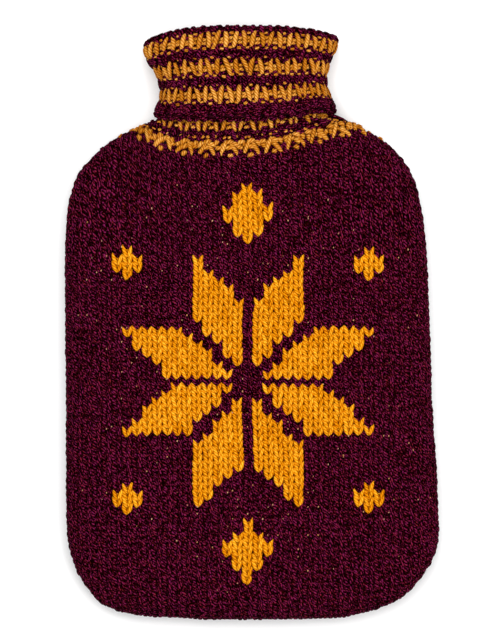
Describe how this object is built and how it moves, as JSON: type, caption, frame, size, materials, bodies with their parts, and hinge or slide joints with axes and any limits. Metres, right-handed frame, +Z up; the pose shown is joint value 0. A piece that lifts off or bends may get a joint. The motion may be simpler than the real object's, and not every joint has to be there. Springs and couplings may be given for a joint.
{
  "type": "hot water bottle cover",
  "caption": "Knitted cover for a hot water bottle: a soft flat pouch with rounded corners and a ribbed, striped collar turned down at the neck.",
  "frame": {"origin": "on the surface that the cover lies on, under the middle of its plan", "axes": "+Z up, out of the front panel; +Y along the cover, from its bottom edge towards its neck; +X to the right, seen from the front"},
  "size_m": [0.2194, 0.349, 0.0407],
  "materials": {
    "burgundy_yarn": "knitted wool, matte",
    "golden_yarn": "knitted wool, matte"
  },
  "bodies": {
    "root": {"front_panel": "burgundy_yarn", "back_panel": "burgundy_yarn", "collar": "golden_yarn"}
  },
  "joints": []
}
